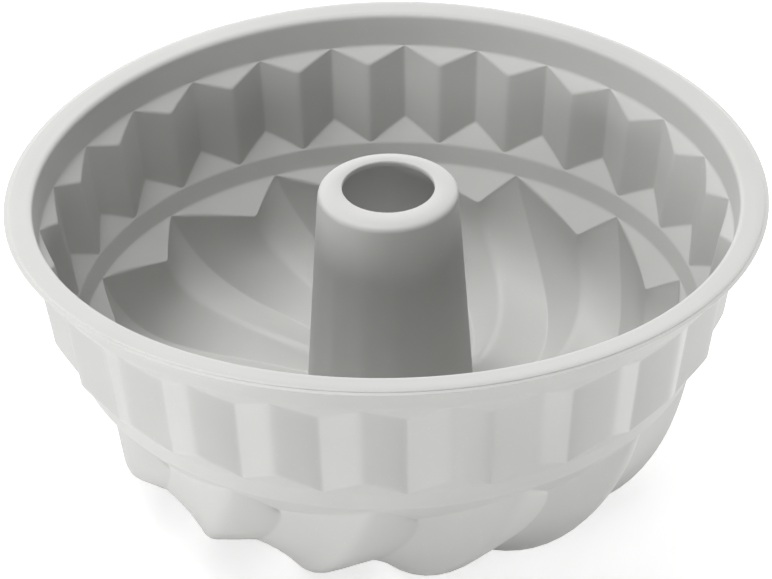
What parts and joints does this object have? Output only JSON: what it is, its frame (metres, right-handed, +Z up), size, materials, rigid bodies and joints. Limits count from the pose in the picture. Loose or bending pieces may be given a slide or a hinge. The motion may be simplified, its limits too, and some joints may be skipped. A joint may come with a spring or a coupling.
{
  "type": "fluted tube cake pan",
  "caption": "Flexible silicone ring-cake mould with a flat rim, straight V flutes over twisted lobes, and a vented centre tube.",
  "frame": {"origin": "centre of the pan on the surface that it stands on", "axes": "+Z up along the centre tube, towards the open side; +Y away from the viewer of the picture"},
  "size_m": [0.24, 0.24, 0.1016],
  "materials": {
    "silicone": "satin moulded silicone, light warm grey"
  },
  "bodies": {
    "root": {"rim_flange": "silicone", "rim_collar": "silicone", "flute_band": "silicone", "waist_ring": "silicone", "lobe_wall": "silicone", "lobe_floor": "silicone", "tube_foot": "silicone", "centre_tube": "silicone", "tube_crown": "silicone"}
  },
  "joints": []
}
